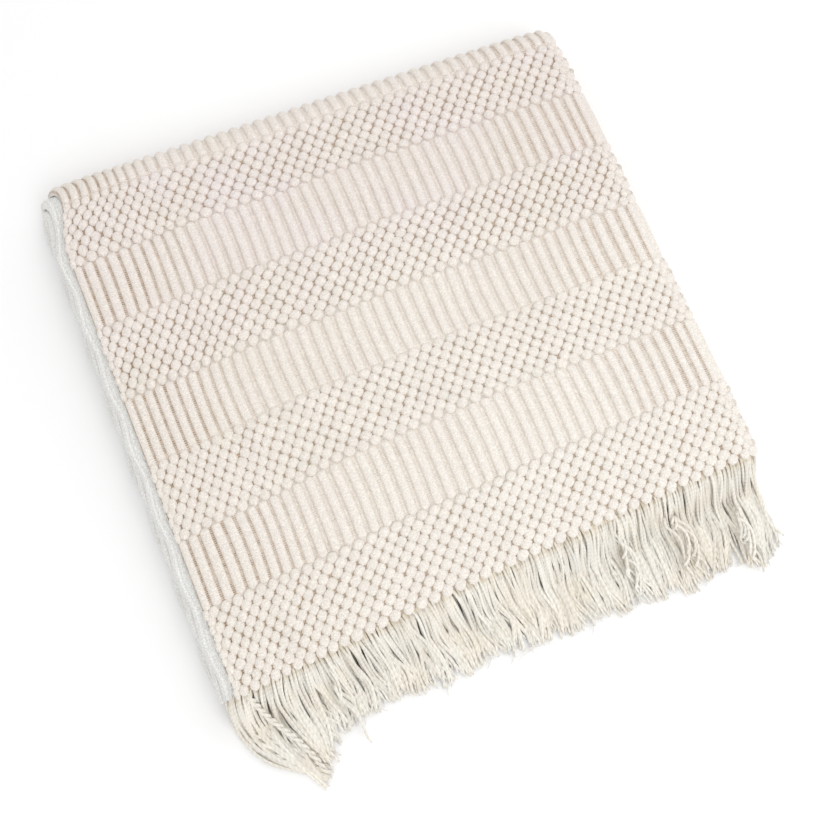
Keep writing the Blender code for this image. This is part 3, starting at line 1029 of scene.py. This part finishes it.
def strand_paths(sizes):
    """The routes and radii of the two plies of the thick twisted strand at the left corner."""
    share = np.linspace(0.0, 1.0, STRAND_RINGS)
    knots = np.array(STRAND)
    reached = np.concatenate(((0.0,), np.cumsum(np.linalg.norm(np.diff(knots, axis=0), axis=1))))
    spots = share * reached[-1]
    middle = np.stack([np.interp(spots, reached, knots[:, axis]) for axis in range(3)], axis=-1)
    soft = np.ones(9) / 9
    padded = np.pad(middle, ((4, 4), (0, 0)), mode="edge")
    middle = np.stack([np.convolve(padded[:, axis], soft, mode="valid") for axis in range(3)], axis=-1)
    middle += np.array((PACKET_X, PACKET_Y, 0.0))
    ahead = np.gradient(middle, axis=0)
    ahead /= np.linalg.norm(ahead, axis=1)[:, None]
    side = np.cross(ahead, (0.0, 0.0, 1.0))
    side /= np.linalg.norm(side, axis=1)[:, None]
    over = np.cross(side, ahead)
    routes = []
    for ply in range(2):
        angle = FULL_TURN * spots / STRAND_PITCH + math.pi * ply
        twist = side * np.cos(angle)[:, None] + over * np.sin(angle)[:, None]
        routes.append(middle + twist * sizes.yarn * 0.55)
    return np.array(routes), np.full(2, sizes.yarn * 0.62)


def heading_paths(fringe):
    """The route and radius of the narrow heading that holds the yarns at the cloth's end."""
    across = np.linspace(0.001, CLOTH_WIDTH - 0.001, HEADING_RINGS)
    along = CLOTH_LENGTH + HEADING_OUT if fringe.end else -HEADING_OUT
    return cloth_surface(across, along, 0.0)[None], np.array([HEADING_RADIUS])


def wisp_paths(route, sizes, rng):
    """The routes and radii of the loose hairs that reach past the yarns' tips."""
    share = np.linspace(0.0, 1.0, YARN_RINGS)
    chosen = route[rng.integers(0, len(route), WISPS)]
    tip, ahead = chosen[:, -1], chosen[:, -1] - chosen[:, -5]
    ahead /= np.linalg.norm(ahead, axis=1)[:, None]
    reach = rng.uniform(0.006, 0.014, WISPS)
    side = np.stack((-ahead[:, 1], ahead[:, 0], np.zeros(WISPS)), axis=-1)
    curve = rng.normal(0.0, 0.006, WISPS)[:, None] * share ** 2
    path = chosen[:, -3][:, None] + ahead[:, None] * (reach[:, None] * share)[..., None]
    path = path + side[:, None] * curve[..., None]
    path[..., 2] = np.maximum(path[..., 2], 0.0006)
    return path, np.full(WISPS, sizes.yarn * 0.14)


def tubes(route, radius, root_shade, rng):
    """The points, faces and fields of yarns along these routes, with painted brown shade at the root and
    past it.
    """
    rings = route.shape[1]
    shape, faces = yarn_template(rings)
    ahead = np.gradient(route, axis=1)
    ahead /= np.linalg.norm(ahead, axis=2)[..., None]
    side = np.cross(ahead, (0.0, 0.0, 1.0))
    side /= np.linalg.norm(side, axis=2)[..., None]
    over = np.cross(side, ahead)
    ring = np.rint(shape[:, 2] * (rings - 1)).astype(int)
    taper = np.interp(ring, (0, 5, rings - 4, rings - 1), (1.08, 1.05, 0.95, 0.6))
    girth = radius[:, None] * taper[None, :]
    points = (route[:, ring] + side[:, ring] * (girth * shape[None, :, 0])[..., None]
              + over[:, ring] * (girth * shape[None, :, 1])[..., None])
    points[..., 2] = np.maximum(points[..., 2], 0.0002)
    steps = np.cumsum(np.linalg.norm(np.diff(route, axis=1), axis=2), axis=1)
    travelled = np.concatenate((np.zeros((len(route), 1)), steps), axis=1)
    around = np.arctan2(shape[:, 1], shape[:, 0]) / FULL_TURN
    # The painted shade eases from its strength at the root to its strength past it, between 2 mm and 13 mm
    # along the yarn
    away = smooth((travelled[:, ring] - 0.002) / 0.011)
    rooted = root_shade[:, :1] * (1 - away) + root_shade[:, 1:] * away
    weave = np.stack((np.broadcast_to(around, points.shape[:2]), travelled[:, ring],
                      np.broadcast_to(rooted, points.shape[:2])), axis=-1)
    tone = np.repeat(rng.uniform(0.0, 1.0, len(route)), len(shape))
    return points.reshape(-1, 3), copied_faces(faces, len(shape), len(route)), weave.reshape(-1, 3), tone


def yarn_mesh(fringe, sizes, rng):
    """The points, faces and fields of one fringe: its yarns, its hairs and its tangles."""
    route, radius = yarn_paths(fringe, sizes, rng)
    bunches = [(route, radius), wisp_paths(route, sizes, rng), heading_paths(fringe)]
    upper = len(route) // PLY_COUNT
    if not fringe.end:
        bunches += [tangle_paths(sizes, rng), strand_paths(sizes)]
    points, faces, weave, tone = [], [], [], []
    total = 0
    for number, (route, radius) in enumerate(bunches):
        root_shade = np.zeros((len(route), 2))
        if number == 0:
            # The top yarns get painted brown shade at the root only, the under yarns along all their length
            root_shade = np.where(np.arange(len(route))[:, None] < upper, UPPER_ROOT_SHADE, UNDER_ROOT_SHADE)
        made = tubes(route, radius, root_shade, rng)
        points.append(made[0])
        faces += [tuple(index + total for index in face) for face in made[1]]
        weave.append(made[2])
        tone.append(made[3])
        total += len(made[0])
    return np.concatenate(points), faces, np.concatenate(weave), np.concatenate(tone)


# The steps


class THROW_OT_cloth(bpy.types.Operator):
    """Make the folded sheet with its ribs"""

    bl_idname = "throw.cloth"
    bl_label = "Folded Cloth"

    def execute(self, context):
        """Build the sheet on the folds of its solid."""
        scene = context.scene
        points, faces, weave, reverse = cloth_mesh(scene.throw_sizes)
        material = knit_material("knit", scene.throw_colours)
        fields = {"weave": weave, "tone": np.full(len(weave), 0.5), "reverse": reverse}
        piece = new_object("knit_cloth", points, faces, fields, material)
        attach(piece, "root")
        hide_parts("cloth")
        return {"FINISHED"}


class THROW_OT_bubbles(bpy.types.Operator):
    """Make the bubbles of the knit"""

    bl_idname = "throw.bubbles"
    bl_label = "Bubbles"

    def execute(self, context):
        """Model one bubble and lay its copies on the sheet."""
        scene = context.scene
        rng = np.random.default_rng(12)
        points, faces, weave, tone = bubble_mesh(scene.throw_sizes, rng)
        material = bpy.data.objects["knit_cloth"].data.materials[0]
        piece = new_object("knit_bubbles", points, faces, {"weave": weave, "tone": tone}, material)
        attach(piece, "root")
        return {"FINISHED"}


class THROW_OT_fringe(bpy.types.Operator):
    """Make the yarns of both fringes"""

    bl_idname = "throw.fringe"
    bl_label = "Fringes"

    def execute(self, context):
        """Model one yarn and lay its copies along each fringed end."""
        scene = context.scene
        material = yarn_material("fringe_yarn", scene.throw_colours)
        for fringe in FRINGES:
            rng = np.random.default_rng(fringe.seed)
            points, faces, weave, tone = yarn_mesh(fringe, scene.throw_sizes, rng)
            fields = {"weave": weave, "tone": tone}
            piece = new_object(fringe.name + "_yarns", points, faces, fields, material)
            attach(piece, "root")
            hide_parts(fringe.name)
        return {"FINISHED"}


class THROW_OT_stage(bpy.types.Operator):
    """Set the floor, the lights and the camera"""

    bl_idname = "throw.stage"
    bl_label = "Stage"

    def execute(self, context):
        """A pale floor, soft light from above and the camera over the front left corner."""
        scene = context.scene
        deselect_all()
        bpy.ops.mesh.primitive_plane_add(size=FLOOR_SIZE, location=(0, 0, 0))
        floor = context.object
        floor.name = "floor"
        shader = Shader("floor", 0.9, 0.0)
        shader.surface.inputs["Base Color"].default_value = scene.throw_colours.floor
        floor.data.materials.append(shader.material)
        world = bpy.data.worlds.new("studio")
        world.use_nodes = True
        backdrop = world.node_tree.nodes["Background"]
        backdrop.inputs["Color"].default_value = (1.0, 1.0, 1.0, 1.0)
        backdrop.inputs["Strength"].default_value = BACKDROP
        scene.world = world
        scene.view_settings.view_transform = "Standard"
        for lamp in LAMPS:
            light = bpy.data.lights.new(lamp.name, "AREA")
            light.energy = lamp.power
            light.size = lamp.size
            holder = bpy.data.objects.new(lamp.name, light)
            holder.location = lamp.place
            holder.rotation_euler = (-Vector(lamp.place)).to_track_quat("-Z", "Y").to_euler()
            scene.collection.objects.link(holder)
        camera = bpy.data.cameras.new("camera")
        camera.sensor_width = SENSOR_WIDTH
        camera.lens = SENSOR_WIDTH * FOCAL_PIXELS / PHOTO_SIZE
        camera.clip_start = 0.01
        eye = bpy.data.objects.new("camera", camera)
        elevation, azimuth = math.radians(CAMERA_ELEVATION), math.radians(CAMERA_AZIMUTH)
        ahead = Vector((math.sin(azimuth) * math.cos(elevation), math.cos(azimuth) * math.cos(elevation),
                        -math.sin(elevation)))
        right = ahead.cross(Vector((0, 0, 1))).normalized()
        up = right.cross(ahead)
        roll = math.radians(CAMERA_ROLL)
        rolled_right = math.cos(roll) * right + math.sin(roll) * up
        rolled_up = math.cos(roll) * up - math.sin(roll) * right
        turn = Matrix((rolled_right, rolled_up, -ahead)).transposed().to_4x4()
        eye.matrix_world = Matrix.Translation(CAMERA_PLACE) @ turn
        scene.collection.objects.link(eye)
        scene.camera = eye
        return {"FINISHED"}


class THROW_PT_panel(bpy.types.Panel):
    """The throw's sizes, colours and steps"""

    bl_idname = "THROW_PT_panel"
    bl_label = "Folded Throw"
    bl_space_type = "VIEW_3D"
    bl_region_type = "UI"
    bl_category = "Throw"

    def draw(self, context):
        """List the settings and the operators."""
        layout = self.layout
        for group in (context.scene.throw_sizes, context.scene.throw_colours):
            for name in group.__annotations__:
                layout.prop(group, name)
        for operator in OPERATORS:
            layout.operator(operator.bl_idname)


OPERATORS = (THROW_OT_stage, THROW_OT_cloth, THROW_OT_bubbles, THROW_OT_fringe)
CLASSES = (ThrowSizes, ThrowColours) + OPERATORS + (THROW_PT_panel,)


def register():
    """Register the classes and give the scene its settings."""
    for kind in CLASSES:
        bpy.utils.register_class(kind)
    bpy.types.Scene.throw_sizes = PointerProperty(type=ThrowSizes)
    bpy.types.Scene.throw_colours = PointerProperty(type=ThrowColours)


def unregister():
    """Take the settings and the classes away again."""
    del bpy.types.Scene.throw_colours
    del bpy.types.Scene.throw_sizes
    for kind in reversed(CLASSES):
        bpy.utils.unregister_class(kind)


def main():
    """Build the throw and its stage."""
    register()
    bpy.ops.throw.stage()
    bpy.ops.throw.cloth()
    bpy.ops.throw.bubbles()
    bpy.ops.throw.fringe()


if __name__ == "__main__":
    main()
